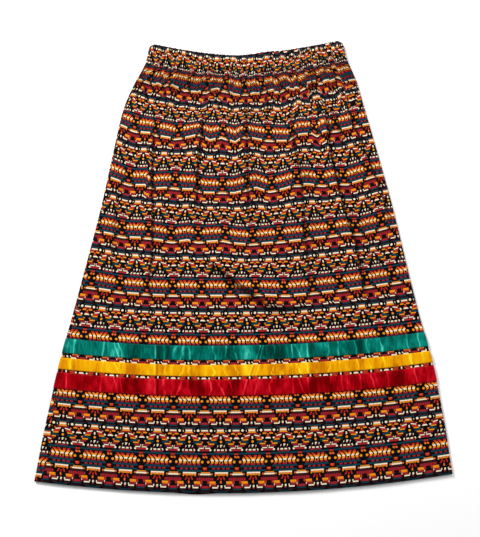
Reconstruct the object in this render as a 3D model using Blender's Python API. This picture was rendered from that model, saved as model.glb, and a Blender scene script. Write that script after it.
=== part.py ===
"""A gathered ribbon skirt, laid flat on a surface with its front up.

X runs across the skirt, Y from the hem up to the waist, Z up from the surface.
The origin is on the surface, in the middle of the skirt's length and hem width.

Every piece is a wall of cloth built from rings. A ring is half of the flat tube that
the skirt makes at one distance down its sides: the front half lies on top, the back
half lies on the surface and wraps round the left fold to a side seam on the front.
"""

import math

import bmesh
import bpy

# Driving sizes, in metres
LENGTH = 0.9190              # down each side, from the waist corner to the hem corner
CASING = 0.0500              # height of the gathered casing at the waist
SEAM_GAP = 0.0003            # between two pieces sewn together
WALL = 0.0012                # a panel, with its seam allowances
INSIDE_GAP = 0.0006          # least room between the front and the back
LOFT = 0.0010                # further room that the cloth keeps in the middle
EDGE_LOFT = 0.0014           # and at the soft side folds
CASING_WALL = 0.0034         # cotton over elastic, at the top of a pucker
CASING_PUCKER = 0.0011       # how far the casing sinks between two puckers
RIBBON_WALL = 0.0010
RIBBON_LIFT = 0.0003         # the ribbon over its panel
GATHERS = 36                 # puckers in each half of the casing
GATHER_HEIGHT = 0.0022       # a pucker at the casing's seam
GATHER_REACH = 0.0950        # how far down a pucker runs out, before its unevenness
BACK_BELOW_HEM = 0.0030      # the back panel shows this much below the front
BACK_ABOVE_WAIST = 0.0026    # and the back casing this much above it

# The side folds: down the side, half width left and right of the centre line, the dip
# of a thread line between the corners, and how sharp that dip is
SIDES = (
    # down, left, right, dip, power
    (0.000, 0.190, 0.235, 0.0330, 1.50),
    (0.050, 0.200, 0.244, 0.0320, 1.50),
    (0.100, 0.224, 0.261, 0.0300, 1.55),
    (0.155, 0.245, 0.273, 0.0280, 1.65),
    (0.250, 0.264, 0.293, 0.0260, 1.80),
    (0.380, 0.288, 0.319, 0.0240, 2.00),
    (0.550, 0.326, 0.347, 0.0220, 2.10),
    (0.650, 0.349, 0.365, 0.0205, 2.20),
    (0.710, 0.362, 0.377, 0.0208, 2.20),
    (0.825, 0.384, 0.391, 0.0240, 2.10),
    (0.919, 0.398, 0.398, 0.0280, 2.00),
)

# How far the back panel comes round the left fold, measured on the flat of the front
WRAP = (
    # down, width of the back panel there
    (0.000, 0.0006),
    (0.560, 0.0006),
    (0.650, 0.0050),
    (0.750, 0.0060),
    (0.800, 0.0090),
    (0.850, 0.0170),
    (0.880, 0.0160),
    (0.919, 0.0120),
)

RIBBONS = (
    # name, top edge down the side, width, colour, roughness
    ("green", 0.6486, 0.0284, (0.000, 0.190, 0.130), 0.30),
    ("yellow", 0.6860, 0.0224, (0.950, 0.480, 0.010), 0.30),
    ("red", 0.7140, 0.0310, (0.480, 0.005, 0.012), 0.30),
)

# Rows of the panels that aren't a ribbon's edge
GATHERED_ROWS = (0.0640, 0.0800, 0.1000, 0.1250, 0.1600)
PLAIN_ROWS = (0.210, 0.260, 0.315, 0.370, 0.430, 0.490, 0.550, 0.610, 0.800, 0.860)

# The casing's section: down the side, and its wall as a share of the full wall
CASING_SECTION = (
    (0.0000, 0.50),
    (0.0035, 0.82),
    (0.0120, 1.00),
    (0.0400, 1.00),
    (0.0497, 0.78),
)

# Long soft folds of the front, each along three points, with its spread and its height;
# a height below zero is a trough
FRONT_FOLDS = (
    # x, y, x, y, x, y, spread, height
    (-0.183, 0.315, -0.188, 0.130, -0.186, -0.150, 0.013, 0.0034),
    (-0.077, 0.315, -0.091, 0.190, -0.085, 0.060, 0.010, 0.0024),
    (0.027, 0.370, 0.027, 0.190, 0.035, -0.010, 0.010, 0.0026),
    (0.124, 0.335, 0.140, 0.130, 0.147, -0.130, 0.012, 0.0028),
    (-0.060, -0.015, 0.018, -0.078, 0.140, -0.112, 0.015, 0.0034),
    (0.180, 0.345, 0.199, 0.160, 0.248, -0.140, 0.013, 0.0038),
    (0.229, 0.335, 0.272, 0.185, 0.310, 0.030, 0.011, 0.0026),
    (-0.217, 0.405, -0.207, 0.372, -0.193, 0.320, 0.009, 0.0016),
    (0.206, 0.330, 0.224, 0.262, 0.240, 0.200, 0.010, 0.0016),
    (-0.060, 0.375, -0.046, 0.345, -0.034, 0.310, 0.008, 0.0020),
    (-0.152, 0.378, -0.147, 0.335, -0.142, 0.290, 0.009, 0.0018),
    (-0.160, 0.330, -0.163, 0.200, -0.160, 0.010, 0.010, -0.0008),
    (0.204, 0.330, 0.226, 0.150, 0.270, -0.080, 0.011, -0.0008),
)

# Folds of the back, pressed inwards because the back lies on the surface
BACK_FOLDS = (
    # x, y, x, y, x, y, spread, height
    (-0.135, 0.345, -0.150, 0.180, -0.170, -0.020, 0.014, 0.0013),
    (-0.030, 0.360, -0.022, 0.220, -0.046, 0.060, 0.012, 0.0011),
    (0.105, 0.350, 0.120, 0.200, 0.108, 0.020, 0.014, 0.0014),
    (0.215, 0.320, 0.232, 0.180, 0.246, 0.040, 0.012, 0.0010),
)

PRINT_COLOUR = (0.130, 0.035, 0.030)
PRINT_ROUGHNESS = 0.85

# How the rings are divided
FINE = 2 * GATHERS           # columns where the cloth is gathered
FRONT_STEP = 2               # one column in 2 goes on below the gathers on the front
BACK_STEP = 4                # and one in 4 on the back
FOLD_STEPS = 4               # segments round a whole side fold
WAIST_Y = (LENGTH + 0.0280 + BACK_BELOW_HEM) / 2.0


def smooth(value):
    """Ease from 0 to 1 as value goes from 0 to 1."""
    value = min(max(value, 0.0), 1.0)
    return value * value * (3.0 - 2.0 * value)


def read_table(table, down):
    """Read every column of a table at a distance down the side, on a smooth curve."""
    last = len(table) - 1
    index = 0
    while index < last - 1 and table[index + 1][0] < down:
        index += 1
    before = table[max(index - 1, 0)]
    start, end = table[index], table[index + 1]
    after = table[min(index + 2, last)]
    span = end[0] - start[0]
    u = min(max((down - start[0]) / span, 0.0), 1.0)
    values = []
    for column in range(1, len(start)):
        slope_in = (end[column] - before[column]) / (end[0] - before[0]) * span
        slope_out = (after[column] - start[column]) / (after[0] - start[0]) * span
        values.append(start[column] * (1 + 2 * u) * (1 - u) ** 2
                      + slope_in * u * (1 - u) ** 2
                      + end[column] * u * u * (3 - 2 * u)
                      + slope_out * u * u * (u - 1))
    return values


def thread_line(x, down):
    """Y of the cloth's cross thread that meets the sides at this distance down."""
    left, right, dip, power = read_table(SIDES, down)
    reach = right if x > 0 else left
    across = min(abs(x) / reach, 1.0)
    return WAIST_Y - down - dip * (1.0 - across ** power)


def bump(value, centre, half_width):
    """A soft hump, 1 at the centre and 0 beyond half_width."""
    return smooth(1.0 - abs(value - centre) / half_width)


def fold_height(folds, x, y):
    """Sum of the folds at a point: round across, easing out at both ends."""
    total = 0.0
    for x0, y0, x1, y1, x2, y2, spread, height in folds:
        length_a = math.hypot(x1 - x0, y1 - y0)
        length_b = math.hypot(x2 - x1, y2 - y1)
        nearest, along = None, 0.0
        for ax, ay, bx, by, start, length in (
                (x0, y0, x1, y1, 0.0, length_a),
                (x1, y1, x2, y2, length_a, length_b)):
            t = ((x - ax) * (bx - ax) + (y - ay) * (by - ay)) / length ** 2
            t = min(max(t, 0.0), 1.0)
            distance = math.hypot(x - ax - t * (bx - ax), y - ay - t * (by - ay))
            if nearest is None or distance < nearest:
                nearest, along = distance, start + t * length
        share = along / (length_a + length_b)
        ends = smooth(share / 0.2) * smooth((1.0 - share) / 0.4)
        total += height * ends * math.exp(-(nearest / spread) ** 2)
    return total


def gather(key, down):
    """Height of the pucker at a column, 0 in a valley and fading down the skirt."""
    if key % 2 == 0:
        return 0.0
    uneven = 0.62 + 0.22 * math.sin(2.3 * key) + 0.16 * math.sin(0.71 * key + 1.0)
    run_out = (down - CASING) / (GATHER_REACH * uneven)
    side = smooth(min(key, FINE - key) / 4.0)
    return GATHER_HEIGHT * side * smooth(1.0 - run_out)


def gather_room(down):
    """Room that the tallest pucker of the back takes at this distance down."""
    return GATHER_HEIGHT * smooth(1.0 - (down - CASING) / GATHER_REACH)


def ribbon_room(down):
    """How far the back panel is lifted by the ribbons that lie under it."""
    first, last = RIBBONS[0], RIBBONS[-1]
    rise = smooth((down - first[1] + 0.030) / 0.028)
    fall = smooth((last[1] + last[2] + 0.035 - down) / 0.033)
    return (RIBBON_WALL + RIBBON_LIFT) * min(rise, fall)


class PanelLevels:
    """Heights of the middle of the cloth in the two panels, at one distance down."""

    wall = WALL

    def __init__(self, down):
        self.down = down
        self.floor = WALL / 2.0 + ribbon_room(down)
        self.apart = gather_room(down) + WALL + INSIDE_GAP

    def fold(self, folds, x, share):
        sides = smooth(share / 0.06) * smooth((1.0 - share) / 0.06)
        return sides * fold_height(folds, x, thread_line(x, self.down))

    def back(self, x, share, key):
        return self.floor + gather(key, self.down) + self.fold(BACK_FOLDS, x, share)

    def front(self, x, share, key):
        middle = smooth(share / 0.10) * smooth((1.0 - share) / 0.10)
        loft = EDGE_LOFT + (LOFT - EDGE_LOFT) * middle
        folds = self.fold(FRONT_FOLDS, x, share) + self.fold(BACK_FOLDS, x, share)
        return self.floor + self.apart + loft + folds + gather(key, self.down)


class CasingLevels:
    """Heights of the middle of the casing's two halves."""

    wall = CASING_WALL

    def __init__(self, down):
        self.down = down

    def back(self, x, share, key):
        return CASING_WALL / 2.0

    def front(self, x, share, key):
        return CASING_WALL * 1.5 + INSIDE_GAP + 0.0004


def arc(centre_x, centre_z, radius, first, last, steps):
    """Points of an arc in the ring's plane, each with its direction out of the centre."""
    points = []
    for step in range(steps + 1):
        angle = math.radians(first + (last - first) * step / steps)
        out = (math.cos(angle), math.sin(angle))
        points.append((centre_x + radius * out[0], centre_z + radius * out[1], out))
    return points


def ring_ends(levels, down):
    """Centres and radii of the two side folds, and the seam's place on the front."""
    left, right, _, _ = read_table(SIDES, down)
    wrap = max(read_table(WRAP, down)[0], 2.0 * SEAM_GAP)
    ends = []
    for side, share in ((-left, 0.0), (right, 1.0)):
        low, high = levels.back(side, share, 0), levels.front(side, share, 0)
        radius = (high - low) / 2.0
        reach = radius + levels.wall / 2.0
        ends.append((side + math.copysign(reach, -side), (high + low) / 2.0, radius))
    width = ends[1][0] - ends[0][0]
    return ends[0], ends[1], wrap / width


def front_ring(levels, down, gathered):
    """Half ring of the front: from the left seam over the top to the right fold.

    Each point is its column's key, x, z and the way out of the cloth, where that is known.
    """
    left, right, seam = ring_ends(levels, down)
    width = right[0] - left[0]
    ring = []
    for key in range(0, FINE + 1, 1 if gathered else FRONT_STEP):
        share = seam + (1.0 - seam) * key / FINE
        x = left[0] + width * share
        out = (0.0, 1.0) if key == FINE else None
        ring.append((key, x, levels.front(x, share, key), out))
    gap = math.degrees(SEAM_GAP / 2.0 / right[2])
    half = FOLD_STEPS // 2
    for index, (x, z, out) in enumerate(arc(*right, 90.0, gap, half)[1:]):
        ring.append((FINE + 1 + index, x, z, out))
    return ring


def back_ring(levels, down, gathered):
    """Half ring of the back: right fold, underside, left fold, then up to the seam."""
    left, right, seam = ring_ends(levels, down)
    width = right[0] - left[0]
    gap = math.degrees(SEAM_GAP / 2.0 / right[2])
    half = FOLD_STEPS // 2
    ring = []
    for index, (x, z, out) in enumerate(arc(*right, -gap, -90.0, half)[:-1]):
        ring.append((index - half, x, z, out))
    for key in range(0, FINE + 1, 1 if gathered else BACK_STEP):
        share = 1.0 - key / FINE
        x = left[0] + width * share
        out = (0.0, -1.0) if key in (0, FINE) else None
        ring.append((key, x, levels.back(x, share, key), out))
    for index, (x, z, out) in enumerate(arc(*left, -90.0, -270.0, FOLD_STEPS)[1:]):
        ring.append((FINE + 1 + index, x, z, out))
    x = left[0] + width * seam - SEAM_GAP
    ring.append((FINE + FOLD_STEPS + 1, x, levels.front(x, seam, 0), None))
    return ring


def offset_ring(ring, distance):
    """Points of a ring moved out of the middle of the cloth, mitred at each corner.

    distance is a function of the column's key.
    """
    moved = []
    for index, (key, x, z, out) in enumerate(ring):
        if out:
            moved.append((key, x + out[0] * distance(key), z + out[1] * distance(key)))
            continue
        normals = []
        for a, b in ((index - 1, index), (index, index + 1)):
            if a < 0 or b >= len(ring):
                continue
            dx, dz = ring[b][1] - ring[a][1], ring[b][2] - ring[a][2]
            length = math.hypot(dx, dz)
            normals.append((-dz / length, dx / length))
        nx = sum(n[0] for n in normals)
        nz = sum(n[1] for n in normals)
        length = math.hypot(nx, nz)
        nx, nz = nx / length, nz / length
        mitre = distance(key) / (nx * normals[0][0] + nz * normals[0][1])
        moved.append((key, x + nx * mitre, z + nz * mitre))
    return moved


def zip_rows(bm, upper, lower):
    """Faces between two rows of (key, vertex), where one row may skip keys."""
    i = j = 0
    while i < len(upper) - 1 or j < len(lower) - 1:
        next_upper = upper[i + 1][0] if i < len(upper) - 1 else math.inf
        next_lower = lower[j + 1][0] if j < len(lower) - 1 else math.inf
        if next_upper <= next_lower:
            if next_upper == next_lower:
                bm.faces.new((upper[i][1], lower[j][1], lower[j + 1][1]))
                j += 1
            bm.faces.new((upper[i][1], lower[j][1], upper[i + 1][1]))
            i += 1
        else:
            bm.faces.new((upper[i][1], lower[j][1], lower[j + 1][1]))
            j += 1


def cloth_solid(name, rows, colour, roughness, metallic=0.0):
    """One closed wall of cloth from rows of (inner ring, outer ring, place in Y).

    place is a function from x to y for its row.
    """
    bm = bmesh.new()
    layers = []
    for inner, outer, place in rows:
        layers.append([[(key, bm.verts.new((x, place(x), z))) for key, x, z in ring]
                       for ring in (inner, outer)])
    for (inner_a, outer_a), (inner_b, outer_b) in zip(layers, layers[1:]):
        zip_rows(bm, outer_a, outer_b)
        zip_rows(bm, inner_a, inner_b)
        for end in (0, -1):
            bm.faces.new((outer_a[end][1], outer_b[end][1], inner_b[end][1]))
            bm.faces.new((outer_a[end][1], inner_b[end][1], inner_a[end][1]))
    for inner, outer in (layers[0], layers[-1]):
        zip_rows(bm, outer, inner)
    bmesh.ops.recalc_face_normals(bm, faces=bm.faces)
    mesh = bpy.data.meshes.new(name)
    bm.to_mesh(mesh)
    bm.free()
    mesh.shade_smooth()
    mesh.set_sharp_from_angle(angle=math.radians(50.0))
    mesh.materials.append(make_material(name, colour, roughness, metallic))
    piece = bpy.data.objects.new(name, mesh)
    bpy.context.scene.collection.objects.link(piece)
    return piece


def make_material(name, colour, roughness, metallic):
    material = bpy.data.materials.new(name)
    material.use_nodes = True
    shader = material.node_tree.nodes["Principled BSDF"]
    shader.inputs["Base Color"].default_value = (*colour, 1.0)
    shader.inputs["Roughness"].default_value = roughness
    shader.inputs["Metallic"].default_value = metallic
    return material


def panel_downs():
    """Distances down the side of all of a panel's rows, and whether each is gathered."""
    edges = [ribbon[1] for ribbon in RIBBONS] + [ribbon[1] + ribbon[2] for ribbon in RIBBONS]
    rows = [(down, True) for down in (CASING + SEAM_GAP, *GATHERED_ROWS)]
    rows += [(down, False) for down in sorted([*PLAIN_ROWS, *edges, LENGTH])]
    return rows


def panel_rows(ring_of, inner, outer, first=0.0, last=LENGTH, drop=None):
    """Rows of a wall that lies from inner to outer off the middle of a panel."""
    rows = []
    for down, gathered in panel_downs():
        if down < first - 1e-6 or down > last + 1e-6:
            continue
        ring = ring_of(PanelLevels(down), down, gathered)
        hem = drop if down == LENGTH else None

        def place(x, down=down, hem=hem):
            return thread_line(x, down) - (hem(x) if hem else 0.0)

        rows.append((offset_ring(ring, lambda key: inner),
                     offset_ring(ring, lambda key: outer), place))
    return rows


def casing_rows(ring_of, rise=None):
    """Rows of one half of the casing: plain inside, puckered outside."""
    rows = []
    for down, share in CASING_SECTION:
        ring = ring_of(CasingLevels(down), down, True)
        half = CASING_WALL / 2.0

        def inner(key, half=half, share=share):
            return -half * share

        def outer(key, half=half, share=share):
            puckered = 0 < key < FINE and key % 2 == 0
            return half - CASING_WALL * (1.0 - share) - (CASING_PUCKER if puckered else 0.0)

        top = rise if down == 0.0 else None

        def place(x, down=down, top=top):
            return thread_line(x, down) + (top(x) if top else 0.0)

        rows.append((offset_ring(ring, inner), offset_ring(ring, outer), place))
    return rows


def make_panels():
    half = WALL / 2.0
    cloth_solid("front_panel", panel_rows(front_ring, -half, half),
                PRINT_COLOUR, PRINT_ROUGHNESS)

    def below_hem(x):
        return BACK_BELOW_HEM * bump(x, -0.092, 0.060)

    cloth_solid("back_panel", panel_rows(back_ring, -half, half, drop=below_hem),
                PRINT_COLOUR, PRINT_ROUGHNESS)


def make_casing():
    cloth_solid("waistband_front", casing_rows(front_ring), PRINT_COLOUR, PRINT_ROUGHNESS)

    def above_waist(x):
        return BACK_ABOVE_WAIST * bump(x, 0.066, 0.050)

    cloth_solid("waistband_back", casing_rows(back_ring, rise=above_waist),
                PRINT_COLOUR, PRINT_ROUGHNESS)


def make_ribbons():
    inner = WALL / 2.0 + RIBBON_LIFT
    outer = inner + RIBBON_WALL
    for side, ring_of in (("front", front_ring), ("back", back_ring)):
        for name, top, width, colour, roughness in RIBBONS:
            rows = panel_rows(ring_of, inner, outer, top, top + width)
            cloth_solid(f"ribbon_{name}_{side}", rows, colour, roughness)


def main():
    for old in list(bpy.data.objects):
        bpy.data.objects.remove(old)
    make_panels()
    make_casing()
    make_ribbons()


main()
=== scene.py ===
"""The looks of a ribbon skirt laid flat: printed cotton, satin ribbons and stitching.

Each CAD wall is replaced by a fine thin shell on the same form. X runs across the
skirt, Y from the hem up to the waist, Z up; all lengths are in metres.
"""

import math
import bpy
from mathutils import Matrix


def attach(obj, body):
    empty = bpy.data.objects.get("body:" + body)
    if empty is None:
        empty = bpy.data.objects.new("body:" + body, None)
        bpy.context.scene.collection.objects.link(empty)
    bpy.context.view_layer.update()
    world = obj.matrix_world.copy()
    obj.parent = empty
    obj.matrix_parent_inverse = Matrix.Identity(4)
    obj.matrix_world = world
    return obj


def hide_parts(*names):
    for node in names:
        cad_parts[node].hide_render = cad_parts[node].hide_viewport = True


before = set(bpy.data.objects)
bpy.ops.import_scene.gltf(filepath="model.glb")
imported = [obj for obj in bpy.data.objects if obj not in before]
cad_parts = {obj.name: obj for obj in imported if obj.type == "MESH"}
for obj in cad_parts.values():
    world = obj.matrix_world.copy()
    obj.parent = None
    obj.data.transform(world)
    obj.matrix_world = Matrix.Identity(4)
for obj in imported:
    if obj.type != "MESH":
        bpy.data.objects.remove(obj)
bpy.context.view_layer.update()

from types import SimpleNamespace

import bpy
import numpy as np
from mathutils import Matrix, Vector

# The garment's sizes, as in the CAD
LENGTH = 0.919
CASING = 0.05
SEAM_GAP = 0.0003
WALL = 0.0012
INSIDE_GAP = 0.0006
LOFT = 0.001
EDGE_LOFT = 0.0014
CASING_WALL = 0.0034
RIBBON_WALL = 0.001
RIBBON_LIFT = 0.0003
GATHER_HEIGHT = 0.0022
GATHER_REACH = 0.095
BACK_BELOW_HEM = 0.003
BACK_ABOVE_WAIST = 0.0026
WAIST_Y = (LENGTH + 0.028 + BACK_BELOW_HEM) / 2.0
FINE = 72                    # valleys and ridges of the 36 puckers in one half

# Further forms, some finer or deeper than in the CAD
GATHER_PEAK = 0.004          # a front pucker at the casing's seam
CASING_PUCKER = 0.0034       # how far the casing sinks between puckers
CASING_LOFT = 0.0004
CORNER_DROP = 0.006          # droop of the casing's upper corners
RIPPLE = 0.0004              # unevenness of the front
RIBBON_EDGE = 0.0007         # a ribbon's face over its panel's, at its edges
RIBBON_PROUD = 0.0004        # and how much higher its middle is
BACK_HEM_AT = (-0.092, 0.06)  # x and half width of the back that shows at the hem
BACK_WAIST_AT = (0.066, 0.05)  # and at the waist

SIDES = (
    # down, left, right, dip, power
    (0.0, 0.19, 0.235, 0.033, 1.5),
    (0.05, 0.2, 0.244, 0.032, 1.5),
    (0.1, 0.224, 0.261, 0.03, 1.55),
    (0.155, 0.245, 0.273, 0.028, 1.65),
    (0.25, 0.264, 0.293, 0.026, 1.8),
    (0.38, 0.288, 0.319, 0.024, 2.0),
    (0.55, 0.326, 0.347, 0.022, 2.1),
    (0.65, 0.349, 0.365, 0.0205, 2.2),
    (0.71, 0.362, 0.377, 0.0208, 2.2),
    (0.825, 0.384, 0.391, 0.024, 2.1),
    (0.919, 0.398, 0.398, 0.028, 2.0),
)

WRAP = (
    # down, width of the back panel that comes round to the front
    (0.0, 0.0006),
    (0.56, 0.0006),
    (0.65, 0.005),
    (0.75, 0.006),
    (0.8, 0.009),
    (0.85, 0.017),
    (0.88, 0.016),
    (0.919, 0.012),
)

RIBBONS = (
    # name, top edge down the side, width
    ("green", 0.6486, 0.0284),
    ("yellow", 0.686, 0.0224),
    ("red", 0.714, 0.031),
)

# Long folds. Side is the steep one, -1 left or 1 right; hidden is the cloth that the
# fold hides from above; hollow is the half width of the dip at its foot and of the painted
# shade there; then its route.
FRONT_FOLDS = (
    # spread, height, side, hidden, hollow, then x and y in millimetres
    (0.014, 0.0044, 1, 0.008, 0.0022, -179, 338, -183, 296, -187, 223, -188, 160, -186,
     100, -185, 44, -186, -8, -192, -60, -187, -119, -175, -191),
    (0.01, 0.0042, 1, 0.006, 0.003, -74, 336, -82, 264, -88, 217, -93, 158, -93, 102,
     -81, 39),
    (0.011, 0.0046, -1, 0.001, 0.0032, 27, 381, 27, 276, 27, 219, 27, 152, 27, 90, 32,
     33, 36, -24),
    (0.012, 0.0048, -1, 0.001, 0.0032, 123, 345, 126, 267, 130, 218, 140, 155, 142, 95,
     143, 39, 147, -22, 149, -81, 144, -176),
    (0.016, 0.0068, -1, 0.002, 0.006, -78, -1, -35, -35, -9, -58, 21, -78, 45, -100,
     63, -113, 98, -115, 160, -108),
    (0.012, 0.0054, 1, 0.002, 0.0044, 177, 367, 184, 302, 186, 249, 190, 200, 202, 135,
     214, 73, 231, 12, 241, -70, 249, -121, 262, -200),
    (0.011, 0.0052, 1, 0.002, 0.0032, 224, 350, 241, 272, 258, 223, 276, 173, 292, 122,
     303, 73, 318, -10),
    (0.009, 0.0036, 1, 0.003, 0.003, -219, 417, -207, 372, -191, 308),
    (0.01, 0.0032, -1, 0.002, 0.0036, 206, 330, 224, 262, 240, 200),
    (0.008, 0.0034, -1, 0.003, 0.003, -62, 382, -46, 345, -34, 305),
    (0.009, 0.0034, -1, 0.003, 0.003, -152, 382, -147, 335, -142, 280),
    (0.009, 0.003, 1, 0.003, 0.003, 60, 380, 62, 330, 56, 270),
    (0.008, 0.0032, -1, 0.003, 0.003, 160, 385, 166, 345, 170, 300),
    (0.014, 0.0022, -1, 0.002, 0.004, 250, 100, 272, 10, 284, -90),
    (0.013, 0.0022, 1, 0.002, 0.004, -250, 190, -262, 80, -270, -60),
)

BACK_FOLDS = (
    # spread, height, side, hidden, hollow, then x and y in millimetres
    (0.014, 0.0013, 1, 0.006, 0.004, -135, 345, -150, 180, -170, -20),
    (0.012, 0.0011, -1, 0.005, 0.004, -30, 360, -22, 220, -46, 60),
    (0.014, 0.0014, 1, 0.006, 0.004, 105, 350, 120, 200, 108, 20),
    (0.012, 0.001, -1, 0.005, 0.004, 215, 320, 232, 180, 246, 40),
)

# How far the gathers and folds pull the printed rows towards the hem, in millimetres
ROW_DRIFT = (
    # down, then x and pull in turn
    (0.012, -184, 4, -162, 5, -127, 3, -101, 6, -50, 7, 0, 6, 50, 7, 66, 10, 118, 9,
     138, 10, 160, 7, 194, 4, 218, 5),
    (0.0475, -186, 1, -103, 6, -50, 5, 2, 6, 60, 8, 110, 7, 160, 5, 218, 2),
    (0.0704, -196, 3, -178, 2, -153, 8, -128, 4, -107, 6, -82, 4, -43, 0, -11, 5, 12, 8,
     36, 7, 73, 10, 103, 3, 125, 8, 145, 2, 173, 6, 193, -1, 224, 2),
    (0.0934, -201, 2, -175, 5, -141, 4, -114, 10, -88, 10, -66, 10, -43, -1, -32, 5, -9, 9,
     9, 13, 38, 11, 62, 9, 94, 12, 114, 4, 137, 12, 157, 2, 182, 6, 199, 4, 216, 0, 233, 9),
    (0.1309, -224, -4, -201, 3, -185, 5, -155, 6, -135, 9, -123, 11, -109, 9, -92, 12,
     -77, 13, -58, -1, -46, 3, -26, 5, -11, 11, 17, 6, 35, 13, 52, 13, 67, 9, 88, 13,
     101, 12, 112, 8, 132, 3, 155, 9, 167, 1, 178, 1, 190, 9, 207, 10, 231, -1),
    (0.157, -235, -6, -205, -1, -178, 2, -140, 6, -120, 7, -105, 9, -88, 4, -66, 1, -45, 1,
     -20, 4, 0, 6, 20, 2, 42, 8, 60, 8, 80, 12, 105, 15, 120, 6, 135, 4, 150, 5, 165, 7,
     187, 6, 210, 7, 240, 1),
    (0.1825, -246, -11, -219, -3, -177, -1, -131, 6, -87, -7, -75, -7, -58, 2, -34, -6,
     -5, 6, 10, -6, 34, 0, 89, 10, 106, 13, 118, 2, 137, -1, 156, -3, 166, 7, 180, -1,
     209, 0, 236, -2, 250, -4),
    (0.2976, -268, -12, -227, -2, -193, -4, -187, 3, -140, -4, -93, -2, -68, 4, -9, 4,
     18, -4, 38, -7, 64, 3, 92, -1, 115, -7, 149, -6, 176, 0, 200, -2, 223, 3, 252, -2,
     278, -6),
    (0.4135, -281, -9, -236, -4, -200, -6, -164, -4, -135, -1, -106, -7, -84, -3, -33, -7,
     -6, 0, 22, 3, 82, -1, 135, -3, 215, -7, 250, -2, 309, -10),
    (0.5268, -296, -3, -238, 1, -168, 2, -111, 0, -22, 0, 34, 0, 93, 4, 146, 2, 227, -1,
     276, -2, 333, -4),
    (0.62, -340, 0, 360, 0),
    (0.919, -390, 0, 390, 0),
)

# Creases in the satin, in millimetres: where each crosses the three ribbons, how far it
# slants over one ribbon, how far it wavers, its half width, and its strength, with which
# it rises and is painted as a highlight (below zero, a hollow painted in shade)
RIBBON_CREASES = (
    # green, yellow, red, slant, waver, half width, strength
    (-345, -353, -360, -3.0, 0.3, 1.3, 0.8),
    (-331, -337, -344, -2.0, 0.5, 1.4, 0.9),
    (-322, -329, -336, -2.0, 0.5, 5.0, -0.3),
    (-273, -274, -276, -2.5, 0.4, 1.6, 0.9),
    (-262, -262, -264, 8.0, 0.6, 5.0, 0.3),
    (-247, -246, -247, 9.0, 0.8, 1.1, 0.9),
    (-239, -240, -236, 9.0, 1.2, 1.1, 0.9),
    (-205, -206, -204, 2.0, 0.5, 9.0, -0.3),
    (-170, -171, -170, 1.0, 0.2, 1.3, 0.9),
    (-164, -166, -165, 0.0, 0.2, 2.2, -1.3),
    (-152, -150, -153, 3.0, 1.2, 2.4, 0.7),
    (-132, -138, -136, -5.0, 2.0, 3.0, 0.6),
    (-117, -116, -122, -9.0, 1.5, 2.2, 0.9),
    (-103, -104, -104, 7.0, 1.8, 2.0, 0.8),
    (-80, -84, -80, 1.0, 1.0, 8.0, -0.4),
    (-54, -56, -62, 2.0, 2.6, 1.6, 1.0),
    (-44, -44, -50, 5.0, 1.4, 6.0, 0.3),
    (-30, -32, -40, 6.0, 2.4, 1.5, 0.9),
    (-12, -10, -22, 4.0, 2.2, 1.4, 0.9),
    (10, 8, 4, -6.0, 2.0, 8.0, 0.3),
    (34, 18, 6, -9.0, 0.2, 0.9, 1.0),
    (37, 22, 10, -9.0, 0.2, 1.0, -0.9),
    (40, 32, 28, -8.0, 0.2, 0.9, 1.0),
    (64, 62, 56, 1.0, 3.0, 1.4, 0.9),
    (84, 84, 78, 2.0, 1.5, 6.0, -0.4),
    (101, 100, 100, 1.0, 0.6, 1.3, 0.8),
    (112, 112, 116, 13.0, 1.0, 1.4, 0.9),
    (131, 130, 130, 1.0, 0.4, 1.4, 1.0),
    (138, 137, 140, 1.0, 0.4, 6.0, -0.7),
    (172, 173, 172, -3.0, 1.5, 1.6, 0.7),
    (192, 193, 196, 2.0, 0.8, 1.4, 0.8),
    (204, 206, 206, 5.0, 1.2, 5.0, 0.3),
    (226, 229, 232, 3.0, 1.0, 1.5, 0.9),
    (236, 238, 240, 2.0, 0.8, 6.0, -0.5),
    (249, 252, 256, 4.0, 1.4, 1.5, 0.8),
    (277, 281, 286, 3.0, 0.8, 1.5, 0.9),
    (300, 305, 310, 2.0, 1.2, 8.0, -0.4),
    (329, 334, 341, 3.0, 0.8, 1.6, 0.9),
    (352, 358, 364, 2.0, 0.6, 1.4, 0.7),
)
CREASE_RISE = 0.0006
SATIN_SCALE = 0.03           # metres of ribbon for one unit of its UV map
# Creases are painted as highlights in the satin's colour, hollow ones as painted shade
CREASE_PAINTED_LIGHT = 0.34           # how much a crease lightens the satin
# The satin's changing tone is painted sheen, partly in narrow streaks
SHEEN_STREAKS = 0.48               # share of narrow streaks in the satin's tone

# The print against the distance down the side: its rows, counted in repeats, the x of
# one of its ring pairs, and the cloth for each metre of width that shows
PRINT_GRID = (
    # down, repeats, x, fullness
    (0.0, 0.016, -0.022, 1.68),
    (0.05, 0.408, -0.022, 1.6),
    (0.066, 0.566, -0.024, 1.45),
    (0.1845, 1.566, -0.029, 1.2),
    (0.303, 2.566, -0.03, 1.12),
    (0.4176, 3.566, -0.026, 1.08),
    (0.527, 4.566, -0.021, 1.06),
    (0.6404, 5.558, -0.017, 1.03),
    (0.755, 6.566, -0.014, 1.01),
    (0.865, 7.566, -0.013, 1.0),
    (0.919, 8.028, -0.013, 1.0),
)
REPEAT_WIDE = 0.061
REPEAT_HIGH = 0.115
BACK_SLIP = 0.021            # the back's print against the front's
PUCKER_FILL = 0.8            # share of the extra cloth that the puckers take up
SLIP_ACROSS = 0.085          # most that it jumps between two puckers, in repeats
SLIP_DOWN = 0.03
SUNK_SLIP = 0.012            # and how much more it drops between them in the casing

# A long fold's section and route
STEEP_SHARE = 0.3            # spread of the steep side against the other
FOOT_SHARE = 0.36            # where the dip at its foot starts, in spreads
HIDDEN_SHARE = 0.4           # and where its hidden cloth is
DIP_SHARE = 0.28             # depth of the dip against the height
FOLD_LEAN = 0.8              # how far the crest lies over, against the height
# The dip at a fold's foot is also painted in shade
SHADED_HEIGHT = 0.005        # from this height on, the dip is fully dark
FADE_IN = 0.2                # shares of the route where it rises and runs out
FADE_OUT = 0.35
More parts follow.
